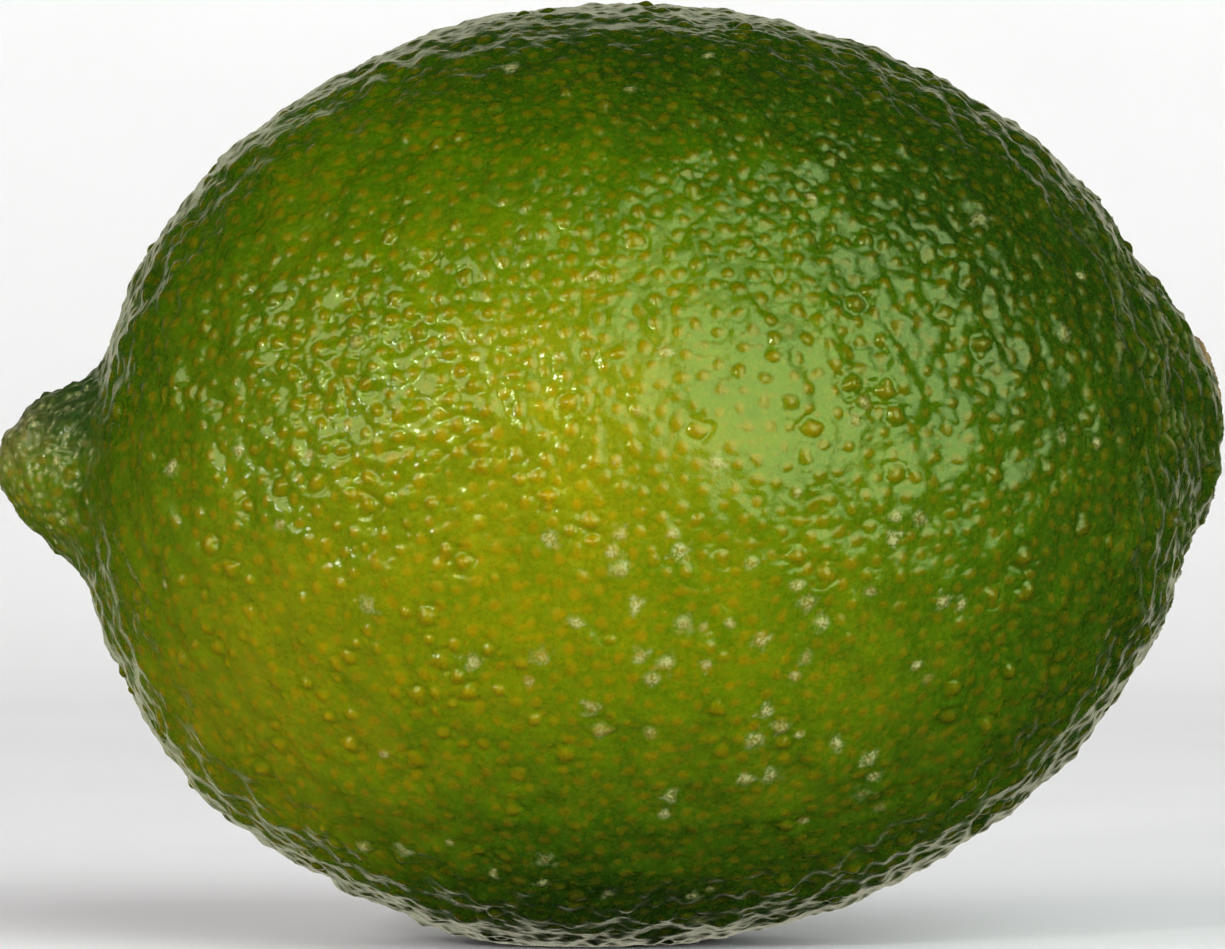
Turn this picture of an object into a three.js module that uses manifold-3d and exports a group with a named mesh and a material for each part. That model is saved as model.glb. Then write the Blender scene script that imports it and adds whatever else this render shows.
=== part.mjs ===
// A lime lying on its side, in two pieces: the grown fruit and the dried calyx button in its stem end.
// Millimetres, +Z up. The long axis runs along X, with the nipple towards -X and the stem end
// towards +X. The origin is on the surface that the fruit rests on, under the middle of its box.
// The shape is worked out around the middle of the fruit's body and moved to that origin at the end.

import * as THREE from "three";
import { mergeVertices } from "three/addons/utils/BufferGeometryUtils.js";
import Module from "manifold-3d";

// Body: two half ellipsoids that share their widest section, with the stem end tipped up.
const BODY_NIPPLE_REACH = 27.65;
const BODY_STEM_REACH = 31.3;
const BODY_HALF_DEPTH = 24.7;
const BODY_HALF_HEIGHT = 24.96;
const BODY_TILT = THREE.MathUtils.degToRad(4.2);

// Nipple: a ball that grows out of the blossom end, with a tighter neck above than below.
const NIPPLE_CENTRE = new THREE.Vector3(-27.9, 0, 0.7);
const NIPPLE_RADIUS = 3.95;
const NECK_BLEND_ABOVE = 3;
const NECK_BLEND_BELOW = 4;
const NECK_BLEND_CHANGE = 1.2;

// Collar: a low mound that carries the calyx, a little above and behind the body's axis.
const COLLAR_CENTRE = new THREE.Vector3(22.5, 1.4, 2.6);
const COLLAR_RADIUS = 10.35;
const COLLAR_BLEND = 0.8;

// Soft dents that keep the fruit from being a perfect ellipsoid. The direction is seen from the
// middle of the body, the width is the angle at which the dent has faded to about a third.
const DENTS = [
  { towards: [-0.98, 0, 0.21], depth: 0.45, width: 11.5 },
  { towards: [-0.45, -0.8, -0.4], depth: 0.2, width: 26 },
  { towards: [0.55, -0.7, 0.45], depth: 0.18, width: 24 },
  { towards: [-0.5, 0.75, 0.4], depth: 0.25, width: 25 },
  { towards: [0.6, 0.75, -0.3], depth: 0.25, width: 25 },
];

// Resting spot: the underside is flat where the weight of the fruit has pressed it.
const RESTING_DEPTH = 0.4;

// Calyx button: a low five-lobed disc with the scar of the stalk in its middle.
const BUTTON_RADIUS = 2.4;
const BUTTON_LOBES = 5;
const BUTTON_LOBE_HEIGHT = 0.2;
const BUTTON_HEIGHT = 0.9;
const BUTTON_CROWN = 0.25;
const BUTTON_SCAR_RADIUS = 0.8;
const BUTTON_SCAR_DEPTH = 0.2;
const BUTTON_PROUD = 0.1;
const BUTTON_UP = THREE.MathUtils.degToRad(16);
const BUTTON_BACK = THREE.MathUtils.degToRad(8);
const GAP = 0.3;

// Fineness of the surfaces.
const SEGMENTS_AROUND = 48;
const RINGS_ALONG = 60;
const RING_CROWDING = 0.35;
const BUTTON_SEGMENTS = 50;
const BISECTIONS = 30;

const wasm = await Module();
wasm.setup();

// The lower of two fields, with the corner between them rounded over the given distance.
function softMinimum(a, b, blend) {
  const overlap = Math.max(blend - Math.abs(a - b), 0) / blend;
  return Math.min(a, b) - (overlap * overlap * blend) / 4;
}

// A field is roughly the distance in millimetres from a point to a skin, and negative inside it.
function ballField(point, centre, radius) {
  return point.distanceTo(centre) - radius;
}

// How much the dents take off the body in a direction, in millimetres.
function dentedBy(direction) {
  let sum = 0;
  for (const dent of DENTS) {
    const angle = direction.angleTo(new THREE.Vector3(...dent.towards));
    const away = THREE.MathUtils.radToDeg(angle) / dent.width;
    sum += dent.depth * Math.exp(-away * away);
  }
  return sum;
}

function bodyField(point, dent) {
  const along = point.x * Math.cos(BODY_TILT) + point.z * Math.sin(BODY_TILT);
  const up = point.z * Math.cos(BODY_TILT) - point.x * Math.sin(BODY_TILT);
  const reach = along < 0 ? BODY_NIPPLE_REACH : BODY_STEM_REACH;
  const share = Math.hypot(along / reach, point.y / BODY_HALF_DEPTH, up / BODY_HALF_HEIGHT);
  return (share - 1) * BODY_HALF_HEIGHT + dent;
}

// How far the corner between body and nipple is rounded, which differs above and below the nipple.
function neckBlend(point) {
  const above = 0.5 + 0.5 * Math.tanh((point.z - NIPPLE_CENTRE.z) / NECK_BLEND_CHANGE);
  return THREE.MathUtils.lerp(NECK_BLEND_BELOW, NECK_BLEND_ABOVE, above);
}

function skinField(point, dent) {
  const body = bodyField(point, dent);
  const nipple = ballField(point, NIPPLE_CENTRE, NIPPLE_RADIUS);
  const collar = ballField(point, COLLAR_CENTRE, COLLAR_RADIUS);
  return softMinimum(softMinimum(body, nipple, neckBlend(point)), collar, COLLAR_BLEND);
}

// How far the skin is from the middle of the body in a direction, found by halving.
function skinDistance(direction) {
  const dent = dentedBy(direction);
  let inside = 0;
  let outside = 2 * BODY_STEM_REACH;
  for (let step = 0; step < BISECTIONS; step += 1) {
    const middle = (inside + outside) / 2;
    const point = direction.clone().multiplyScalar(middle);
    if (skinField(point, dent) < 0) {
      inside = middle;
    } else {
      outside = middle;
    }
  }
  return outside;
}

// A geometry with only its positions, and one vertex wherever corners meet.
function bare(geometry) {
  geometry.deleteAttribute("normal");
  geometry.deleteAttribute("uv");
  return mergeVertices(geometry);
}

function moveVertices(geometry, moved) {
  const position = geometry.getAttribute("position");
  const point = new THREE.Vector3();
  for (let i = 0; i < position.count; i += 1) {
    point.fromBufferAttribute(position, i);
    position.setXYZ(i, ...moved(point));
  }
  return geometry;
}

function solidOf(geometry) {
  const mesh = new wasm.Mesh({
    numProp: 3,
    vertProperties: geometry.getAttribute("position").array,
    triVerts: new Uint32Array(geometry.index.array),
  });
  return new wasm.Manifold(mesh);
}

function geometryOf(solid) {
  const mesh = solid.getMesh();
  const geometry = new THREE.BufferGeometry();
  geometry.setAttribute("position", new THREE.BufferAttribute(mesh.vertProperties, 3));
  geometry.setIndex(new THREE.BufferAttribute(mesh.triVerts, 1));
  geometry.computeVertexNormals();
  return geometry;
}

// A ball with its poles on X and its rings crowded towards them, drawn out to the skin.
function grownGeometry() {
  const ball = bare(new THREE.SphereGeometry(1, SEGMENTS_AROUND, RINGS_ALONG).rotateZ(Math.PI / 2));
  return moveVertices(ball, (point) => {
    const even = Math.acos(THREE.MathUtils.clamp(point.x, -1, 1));
    const crowded = even - RING_CROWDING * Math.sin(2 * even);
    const around = Math.atan2(point.z, point.y);
    const direction = new THREE.Vector3(
      Math.cos(crowded),
      Math.sin(crowded) * Math.cos(around),
      Math.sin(crowded) * Math.sin(around),
    );
    return direction.multiplyScalar(skinDistance(direction));
  });
}

// Everything below the resting plane.
function groundCutter(fruitBox) {
  const size = 3 * BODY_STEM_REACH;
  const top = fruitBox.min.z + RESTING_DEPTH;
  return bare(new THREE.BoxGeometry(size, size, size).translate(0, 0, top - size / 2));
}

// Turns a shape that stands on Z = 0 so that it stands at the collar's middle, facing out.
function stemPlacement() {
  const outward = new THREE.Vector3(
    Math.cos(BUTTON_UP) * Math.cos(BUTTON_BACK),
    Math.cos(BUTTON_UP) * Math.sin(BUTTON_BACK),
    Math.sin(BUTTON_UP),
  );
  const foot = COLLAR_RADIUS + BUTTON_PROUD - BUTTON_HEIGHT - BUTTON_CROWN;
  const turn = new THREE.Quaternion().setFromUnitVectors(new THREE.Vector3(0, 0, 1), outward);
  const place = outward.multiplyScalar(foot).add(COLLAR_CENTRE);
  return new THREE.Matrix4().compose(place, turn, new THREE.Vector3(1, 1, 1));
}

function turnedAboutZ(outline) {
  const points = outline.map(([radius, height]) => new THREE.Vector2(radius, height));
  return bare(new THREE.LatheGeometry(points, BUTTON_SEGMENTS).rotateX(Math.PI / 2));
}

function socketCutter() {
  const radius = BUTTON_RADIUS + BUTTON_LOBE_HEIGHT + GAP;
  const outline = [
    [0, -GAP],
    [radius, -GAP],
    [radius, COLLAR_RADIUS],
    [0, COLLAR_RADIUS],
  ];
  return turnedAboutZ(outline).applyMatrix4(stemPlacement());
}

function buttonGeometry() {
  const crown = BUTTON_HEIGHT + BUTTON_CROWN;
  const outline = [
    [0, 0],
    [BUTTON_RADIUS * 0.85, 0],
    [BUTTON_RADIUS, BUTTON_HEIGHT * 0.4],
    [BUTTON_RADIUS, BUTTON_HEIGHT * 0.85],
    [BUTTON_RADIUS * 0.92, BUTTON_HEIGHT],
    [BUTTON_RADIUS * 0.65, BUTTON_HEIGHT + BUTTON_CROWN * 0.7],
    [BUTTON_SCAR_RADIUS * 1.3, crown],
    [BUTTON_SCAR_RADIUS, crown - BUTTON_SCAR_DEPTH * 0.2],
    [BUTTON_SCAR_RADIUS * 0.8, crown - BUTTON_SCAR_DEPTH],
    [0, crown - BUTTON_SCAR_DEPTH],
  ];
  const disc = moveVertices(turnedAboutZ(outline), (point) => {
    const share = Math.hypot(point.x, point.y) / BUTTON_RADIUS;
    const lobe = Math.cos(BUTTON_LOBES * Math.atan2(point.y, point.x));
    const scale = 1 + (share * share * lobe * BUTTON_LOBE_HEIGHT) / BUTTON_RADIUS;
    return new THREE.Vector3(point.x * scale, point.y * scale, point.z);
  });
  return disc.applyMatrix4(stemPlacement());
}

function fruitGeometry() {
  const grown = grownGeometry();
  grown.computeBoundingBox();
  const rested = solidOf(grown).subtract(solidOf(groundCutter(grown.boundingBox)));
  return geometryOf(rested.subtract(solidOf(socketCutter())));
}

function piece(name, geometry, colour, roughness) {
  const material = new THREE.MeshStandardMaterial({ color: colour, roughness, metalness: 0 });
  const mesh = new THREE.Mesh(geometry, material);
  mesh.name = name;
  return mesh;
}

const lime = new THREE.Group();
lime.add(piece("lime_fruit", fruitGeometry(), 0x5f8f1c, 0.35));
lime.add(piece("stem_button", geometryOf(solidOf(buttonGeometry())), 0x8a6f45, 0.85));

const box = new THREE.Box3().setFromObject(lime, true);
const middle = box.getCenter(new THREE.Vector3());
lime.position.set(-middle.x, -middle.y, -box.min.z);

export default lime;
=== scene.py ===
import math

import bpy
import numpy as np
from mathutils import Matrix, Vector, kdtree


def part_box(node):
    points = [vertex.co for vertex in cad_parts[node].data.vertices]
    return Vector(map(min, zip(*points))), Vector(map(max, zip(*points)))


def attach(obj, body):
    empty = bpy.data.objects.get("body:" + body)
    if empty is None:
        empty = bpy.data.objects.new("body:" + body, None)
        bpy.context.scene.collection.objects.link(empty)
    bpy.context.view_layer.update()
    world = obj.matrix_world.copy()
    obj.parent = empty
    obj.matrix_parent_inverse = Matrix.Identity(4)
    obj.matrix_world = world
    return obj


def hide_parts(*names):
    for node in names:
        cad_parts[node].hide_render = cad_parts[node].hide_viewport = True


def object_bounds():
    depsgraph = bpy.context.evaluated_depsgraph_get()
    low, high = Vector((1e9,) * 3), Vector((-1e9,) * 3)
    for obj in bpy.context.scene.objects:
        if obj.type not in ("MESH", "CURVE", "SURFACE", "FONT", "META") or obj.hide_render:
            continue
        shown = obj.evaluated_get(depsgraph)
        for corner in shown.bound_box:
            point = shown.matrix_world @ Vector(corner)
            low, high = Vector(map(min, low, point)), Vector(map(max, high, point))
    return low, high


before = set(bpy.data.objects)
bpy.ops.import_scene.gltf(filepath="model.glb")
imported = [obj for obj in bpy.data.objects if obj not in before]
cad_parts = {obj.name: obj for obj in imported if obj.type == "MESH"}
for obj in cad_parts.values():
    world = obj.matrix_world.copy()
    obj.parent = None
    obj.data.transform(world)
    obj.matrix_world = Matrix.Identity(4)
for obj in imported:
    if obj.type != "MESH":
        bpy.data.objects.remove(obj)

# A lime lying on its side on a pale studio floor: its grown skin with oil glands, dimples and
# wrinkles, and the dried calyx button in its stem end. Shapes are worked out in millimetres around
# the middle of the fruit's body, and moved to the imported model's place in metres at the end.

cad_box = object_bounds()

MM = 0.001

# Seeds of all the random draws.
FRUIT_SEED = 11
BUTTON_SEED = 5

# Body, nipple and collar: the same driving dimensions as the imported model.
BODY_NIPPLE_REACH = 27.65
BODY_STEM_REACH = 31.3
BODY_HALF_DEPTH = 24.7
BODY_HALF_HEIGHT = 24.96
BODY_TILT = math.radians(4.2)
NIPPLE_CENTRE = (-27.9, 0.0, 0.7)
NIPPLE_RADIUS = 3.95
NECK_BLEND_ABOVE = 3.0
NECK_BLEND_BELOW = 4.0
NECK_BLEND_CHANGE = 1.2
COLLAR_CENTRE = (22.5, 1.4, 2.6)
COLLAR_RADIUS = 10.35
COLLAR_BLEND = 0.8
RESTING_DEPTH = 0.4
# Each dent is a direction seen from the middle, a depth, and the angle at which it has faded to
# about a third.
DENTS = (
    ((-0.98, 0.0, 0.21), 0.45, 11.5),
    ((-0.45, -0.8, -0.4), 0.2, 26.0),
    ((0.55, -0.7, 0.45), 0.18, 24.0),
    ((-0.5, 0.75, 0.4), 0.25, 25.0),
    ((0.6, 0.75, -0.3), 0.25, 25.0),
)

# Calyx button in its socket. Tears are numbers of waves round its edge. The scar's lip is a height
# and a width. Warps, lumps and fibres are a height, a wavelength and a number of waves.
BUTTON_RADIUS = 2.4
BUTTON_LOBES = 5
BUTTON_LOBE_HEIGHT = 0.2
BUTTON_HEIGHT = 0.9
BUTTON_CROWN = 0.25
BUTTON_SCAR_RADIUS = 0.8
BUTTON_PROUD = 0.1
BUTTON_UP = math.radians(16)
BUTTON_BACK = math.radians(8)
BUTTON_SEGMENTS = 200
BUTTON_RINGS = 60
BUTTON_TEARS = (7, 11, 17, 29, 43)
BUTTON_TEAR_STARTS = (0, 6.3)
BUTTON_TEAR_DEPTH = 0.11
BUTTON_UNDERSIDE = 0.15
BUTTON_UNDERCUT = 0.25
BUTTON_UNDERCUT_ZONE = (0.85, 1.0)
BUTTON_TAPER = 0.97
BUTTON_SCAR_LIP = (0.1, 0.16)
BUTTON_SCAR_DEPTH = 0.22
BUTTON_SCAR_FLOOR = 0.55
CRACKS = 18
CRACK_DEPTH = 0.12
CRACK_START = (0.9, 1.5)
CRACK_WARP = (0.12, 0.9, 12)
BUTTON_LUMPS = (0.035, 0.6, 16)
BUTTON_FIBRES = (0.02, 0.25, 20)
EDGE_DROOP = 0.3
EDGE_DROOP_ZONE = (0.85, 1.1)
SOCKET_RADIUS = 2.75
SOCKET_DEPTH = 1.1
SOCKET_LIP = 0.22

# Fineness of the skin's mesh: squares along each edge of the six patches that cover it.
PATCH_SQUARES = 320
BISECTIONS = 22
MERIDIAN_STEPS = 4001

# How softly the edge of the flat spot is rounded.
RESTING_SOFTNESS = 0.05

# Unevenness, as a height, a wavelength and a number of waves that are added up. Waves and ripples
# are drawn out round the fruit, because they lie closer together along the stem's axis.
WAVELENGTH_SPREAD = (0.75, 1.35)
SWELLING = (0.08, 13.0, 16)
WAVE = (0.026, 4.6, 28)
RIPPLE = (0.022, 2.3, 36)
PUCKER = (0.007, 1.1, 48)
NIPPLE_GRAIN = (0.024, 0.5, 48)
SQUEEZE = 0.7
WILDNESS = 1.6
CALM_WAVES = 0.75

# Oil glands: how far apart their middles are, how wide and high the domes over them are, and the
# moats round the domes. A steepness is a height divided by the gland's radius, and the moat's place
# and width, the reach and the colour's edge are counted in gland radii.
GLAND_SPACING = 0.92
SMALL_GLAND_CLEARANCE = 0.5
SMALL_GLAND_SPACING = 0.46
GLAND_RADIUS = (0.29, 0.42)
SMALL_GLAND_RADIUS = (0.1, 0.2)
LARGE_GLAND_RADIUS = (0.42, 0.54)
LARGE_GLAND_SHARE = 0.045
DOME_STEEPNESS = 0.2
DOME_SPREAD = (0.55, 1.5)
CALM_DOMES = 0.5
MOAT_STEEPNESS = 0.11
LARGE_MOAT_STEEPNESS = 0.13
MOAT_SPREAD = (0.15, 1.0)
MOAT_PLACE = 1.2
MOAT_WIDTH = 0.32
CALM_MOATS = 0.75
GLAND_REACH = 1.9
GLAND_OUTLINE = (0.15, 0.7, 24)
GLAND_COLOUR_EDGE = (0.55, 1.0)
GLAND_COLOUR_SPREAD = (0.7, 1.0)
SMALL_GLAND_COLOUR = 0.7

# Wrinkles: rings round the stem end, and creases that run out from the nipple's neck. A zone starts
# over the first two distances from the middle and ends over the last two. Warps are a height, a
# wavelength and a number of waves. Breaks are a wavelength and a number of waves, and a wrinkle
# fades in between the two break levels.
RING_SPACING = 1.35
RING_DEPTH = 0.2
RING_WARPS = ((0.5, 9.0, 14), (0.16, 2.6, 18))
RING_BREAKS = (3.4, 16)
RING_BREAK_LEVELS = (-0.9, 0.7)
RING_ZONE = (3.0, 4.2, 10, 17)
CREASES = 23
CREASE_DEPTH = 0.09
CREASE_WARP = (0.07, 3.0, 16)
CREASE_BREAKS = (3.0, 16)
CREASE_BREAK_LEVELS = (-0.8, 0.8)
CREASE_ZONE = (2.6, 3.6, 5, 10)
# The creases' share of the pale ridge mask, which is partly dry skin and partly painted sheen.
CREASE_DRYNESS_AND_SHEEN = 0.7

# Patches over the skin: a direction, the angle at which the patch has faded to about a third, and
# its weight.
# How ripe the skin is, where 0 is dark green and 1 is yellow. Some of the patches paint light and shade
# into it.
RIPE_LIGHT_AND_SHADE_PATCHES = (
    ((-0.13, -0.99, -0.09), 54.0, 0.69),
    ((-0.73, -0.43, -0.53), 32.0, 0.42),
    # Partly yellower skin and partly painted light: lighter where the fruit faces the camera.
    ((-0.05, -0.98, 0.17), 16.0, 0.15),
    ((0.72, -0.48, 0.5), 20.0, -0.2),
    # Painted shade: darker under the fruit, where it faces the floor.
    ((-0.1, -0.45, -0.89), 24.0, -0.3),
    ((-1.0, -0.06, -0.02), 7.0, 0.34),
    # Partly greener skin and partly painted shade: darker over the top.
    ((0.15, -0.3, 0.94), 30.0, -0.18),
    ((0.5, -0.72, -0.5), 24.0, 0.1),
    ((-0.62, -0.42, 0.66), 20.0, 0.1),
    ((-0.35, 0.85, -0.4), 40.0, 0.5),
)
# Where the skin is nearly smooth.
CALM_PATCH = ((0.22, -0.96, 0.09), 8.5)
# How proud the glands stand. In the proud patch some of them stand out from the rest.
BUMPY_BASE = 0.4
BUMPY_PATCHES = (
    ((0.42, -0.78, 0.46), 34.0, 1.0),
    ((-0.5, -0.83, 0.25), 20.0, 0.9),
    ((0.2, 0.85, 0.3), 50.0, 0.5),
)
LARGE_BUMPINESS = 1.4
PROUD_PATCH = ((-0.42, -0.86, -0.26), 26.0)
PROUD_SHARE = 0.32
PROUD_BUMPINESS = 1.8
# Waves and ripples are weaker where the weight is above 0, and stronger where it is below.
SMOOTH_SIDES = (
    ((0.0, -1.0, 0.0), 46.0, 1.0),
    ((0.0, 1.0, 0.0), 46.0, 1.0),
    ((-0.1, 0.0, 1.0), 34.0, 0.6),
    ((0.6, -0.7, 0.38), 17.0, -0.8),
)
# Where the finest unevenness is stronger.
PUCKERED_PATCHES = (
    ((-0.42, -0.88, 0.16), 20.0, 4.0),
    ((0.55, -0.7, 0.42), 20.0, 2.0),
)
# The nipple's own looks fade out over these distances from its middle. Its top is painted darker above
# these heights, which is painted shade, and it is withered in this direction.
NIPPLE_ZONE = (4.4, 8.0)
TOP_SHADE_HEIGHTS = (-0.3, 2.6)
WITHERED_TIP = ((-0.8, -0.45, 0.45), 34.0)
# Pale scars over dried glands: spots on the body, and dots on the nipple.
SPOTTED_PATCHES = (
    ((0.2, -0.88, -0.42), 32.0, 0.12),
    ((-0.35, 0.8, 0.2), 40.0, 0.06),
)
SPOT_BASE = 0.008
SPOT_RADIUS = (0.22, 0.54)
DOT_SHARE = 0.8
DOT_RADIUS = (0.15, 0.22)
SCAR_STRENGTH = (0.3, 1.0)
SCAR_OUTLINE = (0.22, 0.6, 24)
SCAR_REACH = 1.6
SCAR_EDGE = (0.2, 1.25)


def unit(vectors):
    vectors = np.asarray(vectors, float)
    return vectors / np.linalg.norm(vectors, axis=-1, keepdims=True)


def faded(directions, towards, width):
    """1 where a direction points that way, and about a third at the width in degrees."""
    cosine = np.clip(directions @ unit(towards), -1, 1)
    away = np.degrees(np.arccos(cosine)) / width
    return np.exp(-away * away)


def patched(directions, patches):
    return sum(weight * faded(directions, towards, width) for towards, width, weight in patches)


def step(values, start, end):
    """0 before the start, 1 after the end, and smooth between them."""
    share = np.clip((values - start) / (end - start), 0, 1)
    return share * share * (3 - 2 * share)


def waves(points, wavelength, count, rng):
    """A smooth random field of about that wavelength, with values mostly between -2 and 2."""
    total = np.zeros(len(points))
    for _ in range(count):
        way = unit(rng.normal(size=3))
        length = wavelength * rng.uniform(*WAVELENGTH_SPREAD)
        total += np.sin(points @ (way * 2 * math.pi / length) + rng.uniform(0, 2 * math.pi))
    return total * math.sqrt(2 / count)


def uneven(points, kind, rng):
    """A smooth random field of that height, wavelength and number of waves."""
    height, wavelength, count = kind
    return height * waves(points, wavelength, count, rng)


def within(values, zone):
    """1 inside a zone, 0 outside it, and smooth over its start and its end."""
    start, full, fading, end = zone
    return step(values, start, full) * (1 - step(values, fading, end))


# The grown shape.


def soft_minimum(a, b, blend):
    """The lower of two fields, with the corner between them rounded over that distance."""
    overlap = np.maximum(blend - np.abs(a - b), 0) / blend
    return np.minimum(a, b) - overlap * overlap * blend / 4


def ball_field(points, centre, radius):
    return np.linalg.norm(points - centre, axis=1) - radius


def body_field(points):
    """Roughly the distance in millimetres to the body's skin, negative inside it."""
    along = points[:, 0] * math.cos(BODY_TILT) + points[:, 2] * math.sin(BODY_TILT)
    up = points[:, 2] * math.cos(BODY_TILT) - points[:, 0] * math.sin(BODY_TILT)
    reach = np.where(along < 0, BODY_NIPPLE_REACH, BODY_STEM_REACH)
    scaled = (along / reach, points[:, 1] / BODY_HALF_DEPTH, up / BODY_HALF_HEIGHT)
    return (np.linalg.norm(scaled, axis=0) - 1) * BODY_HALF_HEIGHT


def skin_field(points, dent):
    above = 0.5 + 0.5 * np.tanh((points[:, 2] - NIPPLE_CENTRE[2]) / NECK_BLEND_CHANGE)
    neck = NECK_BLEND_BELOW + (NECK_BLEND_ABOVE - NECK_BLEND_BELOW) * above
    nipple = ball_field(points, NIPPLE_CENTRE, NIPPLE_RADIUS)
    collar = ball_field(points, COLLAR_CENTRE, COLLAR_RADIUS)
    return soft_minimum(soft_minimum(body_field(points) + dent, nipple, neck), collar, COLLAR_BLEND)


def skin_points(directions):
    """Where rays from the middle of the body leave the skin, found by halving."""
    dent = sum(depth * faded(directions, towards, width) for towards, depth, width in DENTS)
    inside = np.zeros(len(directions))
    outside = np.full(len(directions), 2 * BODY_STEM_REACH)
    for _ in range(BISECTIONS):
        middle = (inside + outside) / 2
        buried = skin_field(directions * middle[:, None], dent) < 0
        inside = np.where(buried, middle, inside)
        outside = np.where(buried, outside, middle)
    return directions * outside[:, None]


def patch_grid(squares):
    """Directions over a ball, from six square patches that share their edges, and its faces."""
    steps = np.tan(np.linspace(-math.pi / 4, math.pi / 4, squares + 1))
    across, up = np.meshgrid(steps, steps, indexing="ij")
    ones = np.ones_like(across)
    sides = (
        (ones, across, up),
        (-ones, -across, up),
        (-across, ones, up),
        (across, -ones, up),
        (-up, across, ones),
        (up, across, -ones),
    )
    points = unit(np.concatenate([np.stack(side, axis=-1).reshape(-1, 3) for side in sides]))
    index = np.arange((squares + 1) ** 2).reshape(squares + 1, squares + 1)
    square = np.stack((index[:-1, :-1], index[1:, :-1], index[1:, 1:], index[:-1, 1:]), axis=-1)
    faces = np.concatenate([square.reshape(-1, 4) + side * index.size for side in range(len(sides))])
    _, first, shared = np.unique(np.round(points, 7), axis=0, return_index=True, return_inverse=True)
    return points[first], shared.reshape(-1)[faces]


def evenly_ringed(directions):
    """Moves directions along their meridians, so that their rings lie evenly on the skin."""
    angles = np.linspace(0, math.pi, MERIDIAN_STEPS)
    meridian = skin_points(np.stack((np.cos(angles), np.sin(angles), 0 * angles), axis=1))
    steps = np.linalg.norm(np.diff(meridian, axis=0), axis=1)
    length = np.concatenate(([0], np.cumsum(steps)))
    polar = np.arccos(np.clip(directions[:, 0], -1, 1))
    even = np.interp(polar / math.pi * length[-1], length, angles)
    outward = directions[:, 1:] / np.maximum(np.sin(polar), 1e-9)[:, None]
    return np.column_stack((np.cos(even), outward * np.sin(even)[:, None]))


# Meshes.


def new_object(name, points, faces):
    mesh = bpy.data.meshes.new(name)
    mesh.vertices.add(len(points))
    mesh.vertices.foreach_set("co", np.asarray(points, np.float32).ravel())
    mesh.loops.add(faces.size)
    mesh.loops.foreach_set("vertex_index", faces.ravel().astype(np.int32))
    mesh.polygons.add(len(faces))
    starts = np.arange(0, faces.size, faces.shape[1], dtype=np.int32)
    mesh.polygons.foreach_set("loop_start", starts)
    mesh.update(calc_edges=True)
    mesh.shade_smooth()
    made = bpy.data.objects.new(name, mesh)
    bpy.context.scene.collection.objects.link(made)
    return made


def normals_of(made):
    normals = np.empty(len(made.data.vertices) * 3, np.float32)
    made.data.vertex_normals.foreach_get("vector", normals)
    return normals.reshape(-1, 3).astype(float)


def set_points(made, points):
    made.data.vertices.foreach_set("co", np.asarray(points, np.float32).ravel())
    made.data.update()


def add_attribute(made, name, values):
    layer = made.data.attributes.new(name, "FLOAT", "POINT")
    layer.data.foreach_set("value", np.asarray(values, np.float32))


def tree_of(places):
    tree = kdtree.KDTree(len(places))
    for index, place in enumerate(places):
        tree.insert(place, index)
    tree.balance()
    return tree


# The stem end.


def stem_axis():
    level = math.cos(BUTTON_UP)
    return np.array((level * math.cos(BUTTON_BACK), level * math.sin(BUTTON_BACK), math.sin(BUTTON_UP)))


def from_stem(points):
    """How far each point in front of the collar's middle is from the calyx's axis."""
    away = points - np.array(COLLAR_CENTRE)
    along = away @ stem_axis()
    radius = np.linalg.norm(away - along[:, None] * stem_axis(), axis=1)
    return np.where(along > 0, radius, 2 * BODY_STEM_REACH)


def socket(points):
    """The well in the collar that holds the calyx, as moves along its axis."""
    lip = (SOCKET_RADIUS - SOCKET_LIP, SOCKET_RADIUS + SOCKET_LIP)
    sunk = 1 - step(from_stem(points), *lip)
    return -SOCKET_DEPTH * sunk[:, None] * stem_axis()


# The nipple.


def nipple_zone(points):
    """1 on the nipple, and 0 from a little way down the body."""
    return 1 - step(np.linalg.norm(points - np.array(NIPPLE_CENTRE), axis=1), *NIPPLE_ZONE)


def nipple_shade_and_stains(points):
    """Where the nipple's top is painted darker, which is painted shade, and where it has withered, at
    its tip.
    """
    away = points - np.array(NIPPLE_CENTRE)
    zone = nipple_zone(points)
    return zone * step(away[:, 2], *TOP_SHADE_HEIGHTS), zone * faded(unit(away), *WITHERED_TIP)


# Relief of the skin, in millimetres along its normals.


def unevenness(points, directions, rng):
    """Slow swellings, waves and ripples, closer together along the fruit than round it."""
    squeezed = points + SQUEEZE * (points @ stem_axis())[:, None] * stem_axis()
    rough = 1 + WILDNESS * (1 - patched(directions, SMOOTH_SIDES))
    rough *= 1 - CALM_WAVES * faded(directions, *CALM_PATCH)
    puckered = rough + patched(directions, PUCKERED_PATCHES)
    relief = uneven(points, SWELLING, rng)
    relief += rough * uneven(squeezed, WAVE, rng)
    relief += rough * uneven(squeezed, RIPPLE, rng)
    relief += puckered * uneven(points, PUCKER, rng)
    relief += nipple_zone(points) * uneven(points, NIPPLE_GRAIN, rng)
    return relief


def stem_rings(points, rng):
    """Broken rings of dry ridges round the stem end: 1 on a ridge and 0 away from it."""
    radius = from_stem(points)
    warped = radius + sum(uneven(points, warp, rng) for warp in RING_WARPS)
    ridge = 1 - np.abs(np.sin(math.pi * warped / RING_SPACING))
    broken = step(waves(points, *RING_BREAKS, rng), *RING_BREAK_LEVELS)
    return ridge**3 * broken * within(radius, RING_ZONE)


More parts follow.
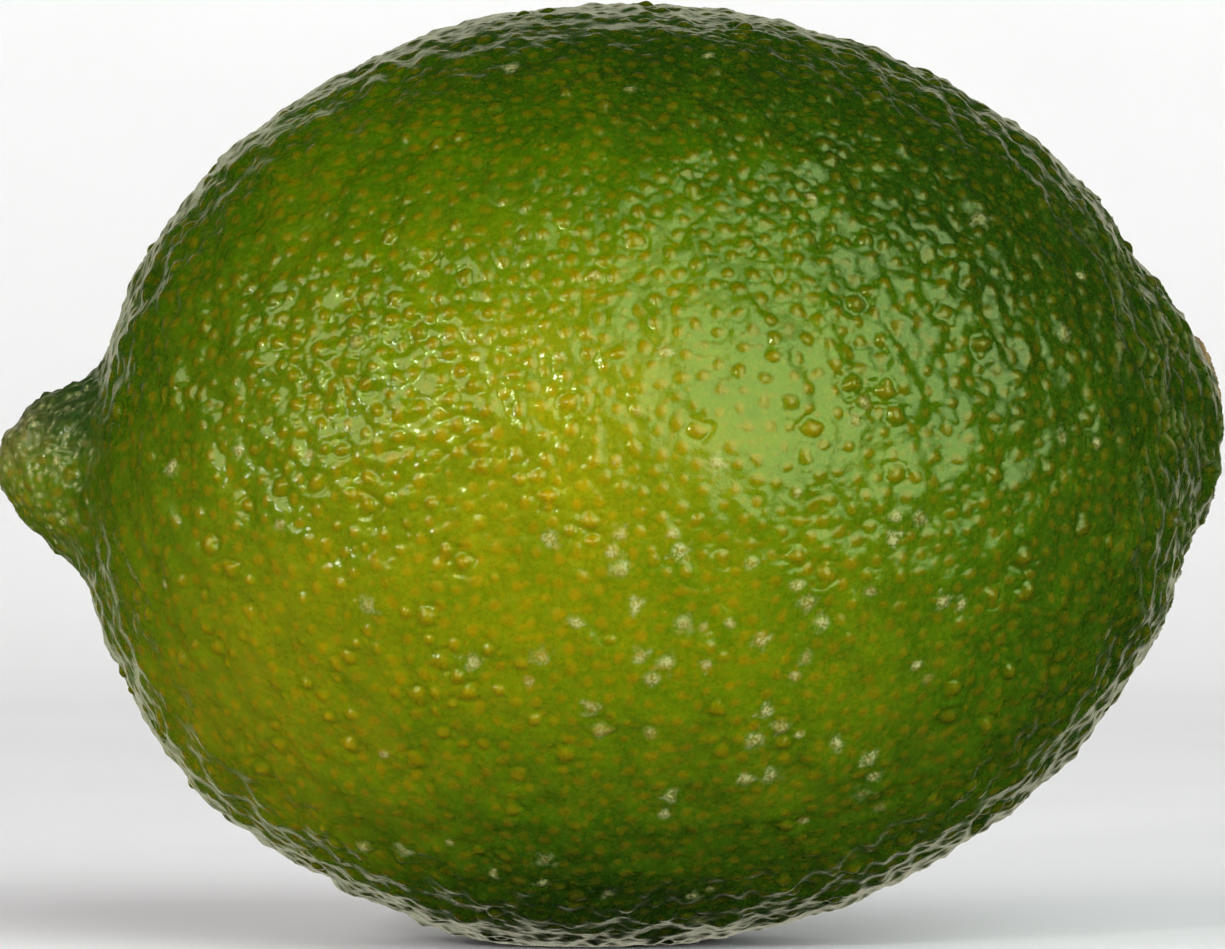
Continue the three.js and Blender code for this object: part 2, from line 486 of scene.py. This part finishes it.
def neck_creases(points, rng):
    """Creases that run out from the nipple's neck: 1 in a crease and 0 away from it."""
    across = points[:, 1]
    up = points[:, 2] - NIPPLE_CENTRE[2]
    radius = np.hypot(across, up)
    angle = np.arctan2(up, across) + uneven(points, CREASE_WARP, rng)
    crease = 1 - np.abs(np.sin(angle * CREASES / 2))
    broken = step(waves(points, *CREASE_BREAKS, rng), *CREASE_BREAK_LEVELS)
    return crease**3 * broken * within(radius, CREASE_ZONE) * (points[:, 0] < 0)


def all_free(places):
    return bytearray(b"\x01") * len(places)


def scattered(tree, places, spacing, free, rng):
    """A random even scatter: indices of free places with at least that spacing between them."""
    chosen = []
    for index in rng.permutation(len(places)).tolist():
        if free[index]:
            chosen.append(index)
            for _, near, _ in tree.find_range(places[index], spacing):
                free[near] = 0
    return chosen


def gland_places(tree, places, rng):
    """Indices of the skin points over the main glands, and over the small ones between them."""
    main = scattered(tree, places, GLAND_SPACING, all_free(places), rng)
    free = all_free(places)
    for index in main:
        for _, near, _ in tree.find_range(places[index], SMALL_GLAND_CLEARANCE):
            free[near] = 0
    return main, scattered(tree, places, SMALL_GLAND_SPACING, free, rng)


def around(tree, places, middles, reaches):
    """For each middle, the points within its reach: whose they are, which, and how far away."""
    owner, near, away = [], [], []
    for order, (index, reach) in enumerate(zip(middles, reaches)):
        for _, other, distance in tree.find_range(places[index], reach):
            owner.append(order)
            near.append(other)
            away.append(distance)
    return np.array(owner), np.array(near), np.array(away)


def gland_sizes(main, small, rng):
    radius = np.concatenate((
        rng.uniform(*GLAND_RADIUS, len(main)),
        rng.uniform(*SMALL_GLAND_RADIUS, len(small)),
    ))
    large = rng.random(len(radius)) < LARGE_GLAND_SHARE
    large[len(main):] = False
    radius[large] = rng.uniform(*LARGE_GLAND_RADIUS, large.sum())
    return radius, large


def bumpiness(directions, large, rng):
    """How proud the glands in those directions stand, where 1 is an ordinary bumpy skin."""
    bumpy = BUMPY_BASE + patched(directions, BUMPY_PATCHES)
    bumpy[large] = LARGE_BUMPINESS
    proud = rng.random(len(bumpy)) < PROUD_SHARE * faded(directions, *PROUD_PATCH)
    bumpy[proud] = PROUD_BUMPINESS
    return bumpy


def gland_heights(directions, radius, large, rng):
    """The height of the dome over each gland, and the depth of the moat round it."""
    calm = faded(directions, *CALM_PATCH)
    bumpy = bumpiness(directions, large, rng)
    height = DOME_STEEPNESS * radius * bumpy * rng.uniform(*DOME_SPREAD, len(radius))
    moated = bumpy * rng.uniform(*MOAT_SPREAD, len(radius)) * (1 - CALM_MOATS * calm)
    moat = radius * np.where(large, LARGE_MOAT_STEEPNESS * bumpy, MOAT_STEEPNESS * moated)
    return height * (1 - CALM_DOMES * calm), moat


def glands(tree, places, directions, rng):
    """Domes with moats over the glands, how much of a gland shows, and the pale scars on some."""
    main, small = gland_places(tree, places, rng)
    middles = np.array(main + small)
    radius, large = gland_sizes(main, small, rng)
    height, moat = gland_heights(directions[middles], radius, large, rng)
    strength = rng.uniform(*GLAND_COLOUR_SPREAD, len(radius))
    strength[radius < GLAND_RADIUS[0]] *= SMALL_GLAND_COLOUR

    owner, near, away = around(tree, places, middles, GLAND_REACH * radius)
    outline = 1 + uneven(np.array(places), GLAND_OUTLINE, rng)
    share = away / radius[owner] * outline[near]
    dome = height[owner] * np.clip(1 - share**2, 0, 1) ** 2
    ring = moat[owner] * np.exp(-(((share - MOAT_PLACE) / MOAT_WIDTH) ** 2))
    relief = np.bincount(near, weights=dome - ring, minlength=len(places))
    shown = np.zeros(len(places))
    np.maximum.at(shown, near, strength[owner] * (1 - step(share, *GLAND_COLOUR_EDGE)))
    return relief, shown, pale_scars(tree, places, main, small, directions, rng)


def pale_scars(tree, places, main, small, directions, rng):
    """How pale the skin is over glands that have dried: big scars, and small dots on the nipple."""
    main = np.array(main)
    small = np.array(small)
    likely = SPOT_BASE + patched(directions[main], SPOTTED_PATCHES)
    scarred = main[rng.random(len(main)) < likely]
    dotted = small[rng.random(len(small)) < DOT_SHARE * nipple_zone(np.array(places)[small])]
    radius = np.concatenate((
        rng.uniform(*SPOT_RADIUS, len(scarred)),
        rng.uniform(*DOT_RADIUS, len(dotted)),
    ))
    strength = rng.uniform(*SCAR_STRENGTH, len(radius))
    middles = np.concatenate((scarred, dotted))
    owner, near, away = around(tree, places, middles, SCAR_REACH * radius)
    outline = 1 + uneven(np.array(places), SCAR_OUTLINE, rng)
    share = away / radius[owner] * outline[near]
    pale = np.zeros(len(places))
    np.maximum.at(pale, near, strength[owner] * (1 - step(share, *SCAR_EDGE)))
    return pale


def place_in_frame(smooth):
    """How far the worked-out shape moves, in millimetres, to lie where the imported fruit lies."""
    lowest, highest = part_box("lime_fruit")
    own_lowest = smooth.min(axis=0)
    own_highest = smooth.max(axis=0)
    return np.array((
        lowest.x / MM - own_lowest[0],
        (lowest.y + highest.y) / MM / 2 - (own_lowest[1] + own_highest[1]) / 2,
        -(own_lowest[2] + RESTING_DEPTH),
    ))


def rested(points, ground):
    """Presses what lies below the ground flat, with a softly rounded edge."""
    above = (points[:, 2] - ground) / RESTING_SOFTNESS
    points[:, 2] = ground + RESTING_SOFTNESS * np.logaddexp(0, above)
    return points


def make_fruit():
    """The fruit's skin with its relief, and how far it was moved to its place in the frame."""
    rng = np.random.default_rng(FRUIT_SEED)
    directions, faces = patch_grid(PATCH_SQUARES)
    directions = evenly_ringed(directions)
    smooth = skin_points(directions)
    fruit = new_object("lime_skin", smooth, faces)
    normals = normals_of(fruit)
    places = smooth.tolist()
    tree = tree_of(places)

    gland_relief, shown, pale = glands(tree, places, directions, rng)
    rings = stem_rings(smooth, rng)
    creases = neck_creases(smooth, rng)
    well = np.linalg.norm(socket(smooth), axis=1) / SOCKET_DEPTH
    relief = unevenness(smooth, directions, rng) + gland_relief
    relief += RING_DEPTH * rings - CREASE_DEPTH * creases
    points = smooth + relief[:, None] * normals * (1 - well)[:, None] + socket(smooth)

    move = place_in_frame(smooth)
    set_points(fruit, (rested(points, -move[2]) + move) * MM)
    painted_top_shade, withered = nipple_shade_and_stains(smooth)
    # Ripeness, with painted shade under the fruit and over its top, and painted light where it faces
    # the camera.
    add_attribute(fruit, "ripe_light_and_shade", patched(directions, RIPE_LIGHT_AND_SHADE_PATCHES))
    add_attribute(fruit, "gland", shown)
    add_attribute(fruit, "pale", pale)
    # Pale ridges and creases: partly dry skin, partly painted sheen on their crests.
    add_attribute(fruit, "dry_and_sheen", np.clip(rings + CREASE_DRYNESS_AND_SHEEN * creases, 0, 1))
    add_attribute(fruit, "nipple", nipple_zone(smooth))
    # Darker along the nipple's top: painted shade.
    add_attribute(fruit, "painted_top_shade", painted_top_shade)
    add_attribute(fruit, "withered", withered)
    return fruit, move


# The calyx.


def ring_faces(rings, segments):
    """Faces between neighbouring rings of points."""
    index = np.arange(rings * segments).reshape(rings, segments)
    following = np.roll(index, -1, axis=1)
    return np.stack((index[:-1], index[1:], following[1:], following[:-1]), axis=-1).reshape(-1, 4)


def ring_shares():
    """How far out each ring of the button lies, where 1 is its edge."""
    return np.linspace(0, 1, BUTTON_RINGS)[1:]


def button_outline(rng):
    """Rings of points inside a lobed and torn edge, with their distances from the middle."""
    turn = np.linspace(0, 2 * math.pi, BUTTON_SEGMENTS, endpoint=False)
    edge = BUTTON_RADIUS + BUTTON_LOBE_HEIGHT * np.cos(BUTTON_LOBES * turn)
    for tears in BUTTON_TEARS:
        start = rng.uniform(*BUTTON_TEAR_STARTS)
        edge += BUTTON_TEAR_DEPTH / math.sqrt(tears) * np.sin(tears * turn + start)
    radius = ring_shares()[:, None] * edge
    flat = np.stack((radius * np.cos(turn), radius * np.sin(turn), 0 * radius), axis=-1)
    return flat.reshape(-1, 3), radius.ravel()


def button_cracks(flat, radius, rng):
    """1 in a radial crack and 0 away from it."""
    angle = np.arctan2(flat[:, 1], flat[:, 0]) + uneven(flat, CRACK_WARP, rng)
    return (1 - np.abs(np.sin(angle * CRACKS / 2))) ** 4 * step(radius, *CRACK_START)


def button_top(flat, radius, crack, rng):
    """Heights of the button's crown, with the stalk's scar, the cracks and a drooping edge."""
    lip_height, lip_width = BUTTON_SCAR_LIP
    top = BUTTON_HEIGHT + BUTTON_CROWN * (1 - radius**2 / BUTTON_RADIUS**2)
    top += lip_height * np.exp(-(((radius - BUTTON_SCAR_RADIUS) / lip_width) ** 2))
    floor = BUTTON_SCAR_RADIUS * BUTTON_SCAR_FLOOR
    top -= BUTTON_SCAR_DEPTH * (1 - step(radius, floor, BUTTON_SCAR_RADIUS))
    top -= CRACK_DEPTH * crack
    top += uneven(flat, BUTTON_LUMPS, rng) + uneven(flat, BUTTON_FIBRES, rng)
    top -= EDGE_DROOP * step(radius / BUTTON_RADIUS, *EDGE_DROOP_ZONE)
    return top


def button_underside():
    """Heights of the button's underside, which curls up towards its edge."""
    heights = BUTTON_UNDERSIDE + BUTTON_UNDERCUT * step(ring_shares(), *BUTTON_UNDERCUT_ZONE)
    return np.repeat(heights, BUTTON_SEGMENTS)


def button_faces():
    """Faces of the top and the underside, the side between them, and a cap in each middle."""
    rings = BUTTON_RINGS - 1
    half = rings * BUTTON_SEGMENTS
    top = ring_faces(rings, BUTTON_SEGMENTS)
    first = np.arange(BUTTON_SEGMENTS)
    following = np.roll(first, -1)
    last = half - BUTTON_SEGMENTS
    side = np.stack((first, first + half, following + half, following), axis=1) + last
    centre = np.full(BUTTON_SEGMENTS, 2 * half)
    cap = np.stack((centre, first, following), axis=1)
    base = np.stack((centre + 1, following + half, first + half), axis=1)
    quads = np.concatenate((top, top[:, ::-1] + half, side))
    return quads.tolist() + np.concatenate((cap, base)).tolist()


def place_at_stem(points, move):
    """Turns points that stand on Z = 0 to stand in the socket, facing out, and moves them."""
    outward = stem_axis()
    foot = COLLAR_RADIUS + BUTTON_PROUD - BUTTON_HEIGHT - BUTTON_CROWN
    turned = Vector((0, 0, 1)).rotation_difference(Vector(outward)).to_matrix()
    return points @ np.array(turned).T + outward * foot + np.array(COLLAR_CENTRE) + move


def make_button(move):
    """A low five-lobed disc with a torn edge, radial cracks, and the scar of the stalk."""
    rng = np.random.default_rng(BUTTON_SEED)
    flat, radius = button_outline(rng)
    crack = button_cracks(flat, radius, rng)
    top = button_top(flat, radius, crack, rng)
    upper = np.column_stack((flat[:, :2], top))
    lower = np.column_stack((flat[:, :2] * BUTTON_TAPER, button_underside()))
    points = np.concatenate((upper, lower, [[0, 0, top[0]], [0, 0, BUTTON_UNDERSIDE]]))

    mesh = bpy.data.meshes.new("calyx_button")
    mesh.from_pydata((place_at_stem(points, move) * MM).tolist(), [], button_faces())
    mesh.shade_smooth()
    button = bpy.data.objects.new("calyx_button", mesh)
    bpy.context.scene.collection.objects.link(button)
    cracked = np.zeros(len(points))
    cracked[: len(crack)] = crack
    add_attribute(button, "crack", cracked)
    return button


# Materials.


# A Mix node's sockets for colours come after those for numbers and vectors.
MIX_FACTOR = 0
MIX_FIRST = 6
MIX_SECOND = 7
MIX_RESULT = 2


class Shader:
    """A material's node tree, with a short call for each kind of node that is used here."""

    def __init__(self, name):
        self.material = bpy.data.materials.new(name)
        self.material.use_nodes = True
        self.tree = self.material.node_tree
        self.surface = self.tree.nodes["Principled BSDF"]
        self.place = self.node("ShaderNodeTexCoord").outputs["Object"]

    def node(self, kind, **settings):
        made = self.tree.nodes.new(kind)
        for name, value in settings.items():
            setattr(made, name, value)
        return made

    def put(self, socket, value):
        if isinstance(value, bpy.types.NodeSocket):
            self.tree.links.new(value, socket)
        else:
            socket.default_value = value

    def attribute(self, name):
        return self.node("ShaderNodeAttribute", attribute_name=name).outputs["Fac"]

    def noise(self, size, detail=2.0, roughness=0.5, stretch=(1, 1, 1)):
        """Noise whose blotches are about that many millimetres across."""
        mapping = self.node("ShaderNodeMapping")
        self.put(mapping.inputs["Vector"], self.place)
        self.put(mapping.inputs["Scale"], [axis / (size * MM) for axis in stretch])
        texture = self.node("ShaderNodeTexNoise")
        self.put(texture.inputs["Vector"], mapping.outputs["Vector"])
        self.put(texture.inputs["Scale"], 1.0)
        self.put(texture.inputs["Detail"], detail)
        self.put(texture.inputs["Roughness"], roughness)
        return texture.outputs["Fac"]

    def math(self, operation, a, b=0.0):
        made = self.node("ShaderNodeMath", operation=operation)
        self.put(made.inputs[0], a)
        self.put(made.inputs[1], b)
        return made.outputs["Value"]

    def range(self, value, low, high, to_low=0.0, to_high=1.0):
        """Goes smoothly from one limit to the other while the value goes from low to high."""
        made = self.node("ShaderNodeMapRange", interpolation_type="SMOOTHSTEP")
        self.put(made.inputs["Value"], value)
        self.put(made.inputs["From Min"], low)
        self.put(made.inputs["From Max"], high)
        self.put(made.inputs["To Min"], to_low)
        self.put(made.inputs["To Max"], to_high)
        return made.outputs["Result"]

    def times(self, a, b):
        return self.math("MULTIPLY", a, b)

    def ramp(self, factor, stops):
        made = self.node("ShaderNodeValToRGB")
        elements = made.color_ramp.elements
        while len(elements) < len(stops):
            elements.new(0.5)
        for element, (position, colour) in zip(elements, stops):
            element.position = position
            element.color = (*colour, 1)
        self.put(made.inputs["Fac"], factor)
        return made.outputs["Color"]

    def mix(self, factor, a, b, blend="MIX"):
        made = self.node("ShaderNodeMix", data_type="RGBA", blend_type=blend)
        self.put(made.inputs[MIX_FACTOR], factor)
        self.put(made.inputs[MIX_FIRST], a if isinstance(a, bpy.types.NodeSocket) else (*a, 1))
        self.put(made.inputs[MIX_SECOND], b if isinstance(b, bpy.types.NodeSocket) else (*b, 1))
        return made.outputs[MIX_RESULT]

    def bump(self, height, depth, below=None):
        """A fine relief of that many millimetres, on top of another one."""
        made = self.node("ShaderNodeBump")
        self.put(made.inputs["Strength"], 1.0)
        self.put(made.inputs["Distance"], depth * MM)
        self.put(made.inputs["Height"], height)
        if below is not None:
            self.put(made.inputs["Normal"], below)
        return made.outputs["Normal"]

    def set(self, **values):
        for name, value in values.items():
            self.put(self.surface.inputs[name.replace("_", " ")], value)


# Linear colours. Skin and glands go from unripe at 0 to ripe at 1, the calyx and the floor from
# the low to the high end of their blotches.
RIND_COLOURS = (
    (0.0, (0.008, 0.03, 0.001)),
    (0.28, (0.026, 0.067, 0.0003)),
    (0.56, (0.07, 0.112, 0.0001)),
    (0.8, (0.13, 0.145, 0.0001)),
    (1.0, (0.215, 0.215, 0.0001)),
)
GLAND_COLOURS = (
    (0.0, (0.04, 0.043, 0.001)),
    (0.4, (0.1, 0.085, 0.0003)),
    (0.8, (0.21, 0.145, 0.0001)),
    (1.0, (0.34, 0.21, 0.0001)),
)
PALE_SCAR = (0.3, 0.31, 0.13)
# Partly dry skin and partly painted sheen: the paler crests of the ridges and creases.
DRY_RIDGE_AND_SHEEN = (0.19, 0.2, 0.085)
# Painted shade: dark specks standing for tiny pits in the skin.
PAINTED_PIT_SHADE = (0.02, 0.035, 0.001)
FLECK = (0.12, 0.18, 0.012)
# Painted shade: the darker colour along the nipple's top.
TOP_SHADE_COLOUR = (0.007, 0.032, 0.006)
WITHERED_SKIN = (0.2, 0.16, 0.05)
CALYX_COLOURS = (
    (0.25, (0.05, 0.03, 0.01)),
    (0.5, (0.15, 0.095, 0.032)),
    (0.75, (0.26, 0.2, 0.09)),
)
CALYX_FIBRE = (0.32, 0.26, 0.15)
CALYX_CRACK = (0.03, 0.018, 0.008)
FLOOR_COLOURS = (
    (0.3, (0.8, 0.8, 0.79)),
    (0.7, (0.83, 0.83, 0.82)),
)


def living_skin(rind, blotches, grain, specks):
    """The skin's colour, by how ripe it is with painted light and shade mixed in, with yellower glands,
    pale flecks and painted shade in tiny pits.
    """
    ripe_light_and_shade = rind.math("ADD", rind.attribute("ripe_light_and_shade"), rind.range(blotches, 0.25, 0.75, -0.08, 0.08))
    ripe_light_and_shade = rind.math("ADD", ripe_light_and_shade, rind.range(grain, 0.25, 0.75, -0.05, 0.05))
    skin = rind.ramp(ripe_light_and_shade, RIND_COLOURS)
    gland = rind.ramp(ripe_light_and_shade, GLAND_COLOURS)
    colour = rind.mix(rind.times(rind.attribute("gland"), 0.95), skin, gland)
    colour = rind.mix(rind.range(specks, 0.58, 0.75, 0, 0.2), colour, FLECK)
    # Dark specks of painted shade for the skin's tiny pits.
    return rind.mix(rind.range(specks, 0.25, 0.42, 0.1, 0), colour, PAINTED_PIT_SHADE)


def rind_material():
    rind = Shader("lime_rind")
    blotches = rind.noise(2.6, 3)
    grain = rind.noise(0.35, 3, 0.6)
    specks = rind.noise(0.16, 1)
    colour = living_skin(rind, blotches, grain, specks)
    # Painted shade: the nipple's top is darkened.
    colour = rind.mix(rind.times(rind.attribute("painted_top_shade"), 0.9), colour, TOP_SHADE_COLOUR)
    withered = rind.times(rind.attribute("withered"), rind.range(grain, 0.35, 0.6, 0.1, 0.5))
    colour = rind.mix(withered, colour, WITHERED_SKIN)
    # Paler ridges and creases: partly dry skin, partly painted sheen.
    dry_and_sheen = rind.times(rind.attribute("dry_and_sheen"), rind.range(grain, 0.35, 0.6))
    colour = rind.mix(rind.times(dry_and_sheen, 0.6), colour, DRY_RIDGE_AND_SHEEN)
    scar = rind.times(rind.attribute("pale"), rind.range(specks, 0.38, 0.6, 0.15, 0.95))
    colour = rind.mix(scar, colour, PALE_SCAR)

    rough = rind.range(grain, 0.25, 0.75, 0.23, 0.33)
    rough = rind.math("ADD", rough, rind.times(scar, 0.35))
    rough = rind.math("ADD", rough, rind.times(dry_and_sheen, 0.12))
    rough = rind.math("ADD", rough, rind.times(rind.attribute("nipple"), 0.2))
    relief = rind.bump(grain, 0.008)
    relief = rind.bump(specks, 0.007, relief)
    rind.set(Base_Color=colour, Roughness=rough, Normal=relief)
    rind.set(IOR=1.45, Specular_IOR_Level=0.45, Specular_Tint=(0.7, 1.0, 0.12, 1))
    rind.set(Coat_Weight=0.3, Coat_Roughness=0.1, Coat_Normal=relief, Coat_IOR=1.45)
    rind.set(Subsurface_Weight=0.12, Subsurface_Radius=(0.9, 1.0, 0.3), Subsurface_Scale=0.45 * MM)
    return rind.material


def calyx_material():
    calyx = Shader("dried_calyx")
    blotches = calyx.noise(0.9, 4, 0.6)
    fibres = calyx.noise(0.18, 3, 0.6)
    colour = calyx.ramp(blotches, CALYX_COLOURS)
    colour = calyx.mix(calyx.range(fibres, 0.55, 0.75, 0, 0.5), colour, CALYX_FIBRE)
    colour = calyx.mix(calyx.attribute("crack"), colour, CALYX_CRACK)
    relief = calyx.bump(fibres, 0.05)
    calyx.set(Base_Color=colour, Roughness=calyx.range(fibres, 0.3, 0.7, 0.7, 0.92), Normal=relief)
    calyx.set(Specular_IOR_Level=0.3)
    return calyx.material


def floor_material():
    floor = Shader("studio_floor")
    shade = floor.noise(90, 2)
    floor.set(Base_Color=floor.ramp(shade, FLOOR_COLOURS))
    floor.set(Roughness=0.9, Specular_IOR_Level=0.1)
    return floor.material


# The studio.

FLOOR_RADIUS = 0.5
FLOOR_RINGS = 11
FLOOR_FIRST_RING = 0.02
FLOOR_SEGMENTS = 96
BOWL_RADIUS = 0.7
BOWL_RINGS = 24
WALL_TOP = 1.0
LIGHT_DISTANCE = 0.9
ROOM_BRIGHTNESS = 0.002
BACKDROP_BRIGHTNESS = 0.85
BACKDROP_COLOUR = (1.0, 0.97, 0.74, 1.0)
# The backdrop starts and is full where a direction's Y is this much.
BACKDROP_EDGE = (0.78, 0.92)
COOL = (0.93, 1.0, 1.0)
WARM = (1.0, 0.88, 0.95)


def make_floor():
    """A flat floor that curves up into a low wall all round."""
    bend = np.linspace(0, math.pi / 2, BOWL_RINGS)
    out = np.concatenate((
        np.linspace(FLOOR_FIRST_RING, FLOOR_RADIUS, FLOOR_RINGS + 1)[:-1],
        FLOOR_RADIUS + BOWL_RADIUS * np.sin(bend),
        [FLOOR_RADIUS + BOWL_RADIUS],
    ))
    up = np.concatenate((np.zeros(FLOOR_RINGS), BOWL_RADIUS * (1 - np.cos(bend)), [WALL_TOP]))
    turn = np.linspace(0, 2 * math.pi, FLOOR_SEGMENTS, endpoint=False)
    rings = [(r * np.cos(turn), r * np.sin(turn), z + 0 * turn) for r, z in zip(out, up)]
    points = np.concatenate([np.stack(ring, axis=1) for ring in rings] + [np.zeros((1, 3))])
    quads = ring_faces(len(out), FLOOR_SEGMENTS).tolist()
    first = list(range(FLOOR_SEGMENTS))
    cap = [(len(points) - 1, a, b) for a, b in zip(first, first[1:] + first[:1])]
    mesh = bpy.data.meshes.new("studio_floor")
    mesh.from_pydata(points.tolist(), [], quads + cap)
    mesh.shade_smooth()
    floor = bpy.data.objects.new("studio_floor", mesh)
    bpy.context.scene.collection.objects.link(floor)
    floor.data.materials.append(floor_material())
    floor.visible_glossy = False


def softbox(name, azimuth, elevation, size, brightness, target, colour=(1, 1, 1), glossy=True):
    """An oval area light, placed by its direction from the target, where 0 is the camera's side."""
    level = math.cos(math.radians(elevation))
    way = Vector((
        level * math.sin(math.radians(azimuth)),
        -level * math.cos(math.radians(azimuth)),
        math.sin(math.radians(elevation)),
    ))
    light = bpy.data.lights.new(name, "AREA")
    light.shape = "ELLIPSE"
    light.color = colour
    light.size, light.size_y = size
    area = math.pi / 4 * size[0] * size[1]
    light.energy = brightness * math.pi * area
    made = bpy.data.objects.new(name, light)
    made.location = target + way * LIGHT_DISTANCE
    made.rotation_euler = way.to_track_quat("Z", "Y").to_euler()
    made.visible_camera = False
    made.visible_glossy = glossy
    bpy.context.scene.collection.objects.link(made)


def make_surroundings():
    """A dim room with a pale backdrop behind the fruit, which its gloss shows near the outline."""
    world = bpy.data.worlds.new("studio")
    world.use_nodes = True
    tree = world.node_tree
    split = tree.nodes.new("ShaderNodeSeparateXYZ")
    spread = tree.nodes.new("ShaderNodeMapRange")
    spread.interpolation_type = "SMOOTHSTEP"
    for name, value in (
        ("From Min", BACKDROP_EDGE[0]),
        ("From Max", BACKDROP_EDGE[1]),
        ("To Min", ROOM_BRIGHTNESS),
        ("To Max", BACKDROP_BRIGHTNESS),
    ):
        spread.inputs[name].default_value = value
    direction = tree.nodes.new("ShaderNodeTexCoord").outputs["Generated"]
    tree.links.new(direction, split.inputs["Vector"])
    tree.links.new(split.outputs["Y"], spread.inputs["Value"])
    tree.links.new(spread.outputs["Result"], tree.nodes["Background"].inputs["Strength"])
    tree.nodes["Background"].inputs["Color"].default_value = BACKDROP_COLOUR
    bpy.context.scene.world = world


def make_lights(target):
    softbox("right_softbox", 35, 25, (1.2, 1.4), 2.1, target, COOL)
    softbox("right_core", 31, 19, (0.75, 0.9), 2.9, target, COOL)
    softbox("left_softbox", -50, 23, (0.64, 0.56), 4.9, target, WARM)
    softbox("right_fill", 50, 8, (0.8, 0.4), 4.0, target, glossy=False)
    softbox("glint_lamp", -26, 18, (0.09, 0.09), 110, target)
    softbox("low_glint_lamp", -55, 4, (0.09, 0.09), 130, target)
    softbox("back_softbox", 180, 12, (1.4, 0.9), 1.6, target, glossy=False)
    make_surroundings()


CAMERA_DISTANCE = 0.4
CAMERA_SENSOR = 36.0
FRAME_MARGIN = 1.002


def make_camera():
    """A long lens at the fruit's own height, with the fruit filling the frame's width."""
    lowest, highest = cad_box
    middle = (lowest + highest) / 2
    data = bpy.data.cameras.new("camera")
    data.sensor_width = CAMERA_SENSOR
    data.lens = CAMERA_SENSOR * CAMERA_DISTANCE / ((highest.x - lowest.x) * FRAME_MARGIN)
    camera = bpy.data.objects.new("camera", data)
    camera.location = middle - Vector((0, CAMERA_DISTANCE, 0))
    camera.rotation_euler = (math.pi / 2, 0, 0)
    bpy.context.scene.collection.objects.link(camera)
    bpy.context.scene.camera = camera
    return middle


def stand_for(piece, node, material):
    piece.data.materials.append(material)
    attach(piece, "root")
    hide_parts(node)


middle = make_camera()
bpy.context.scene.view_settings.view_transform = "Standard"
fruit, move = make_fruit()
stand_for(fruit, "lime_fruit", rind_material())
stand_for(make_button(move), "stem_button", calyx_material())
make_floor()
make_lights(middle)
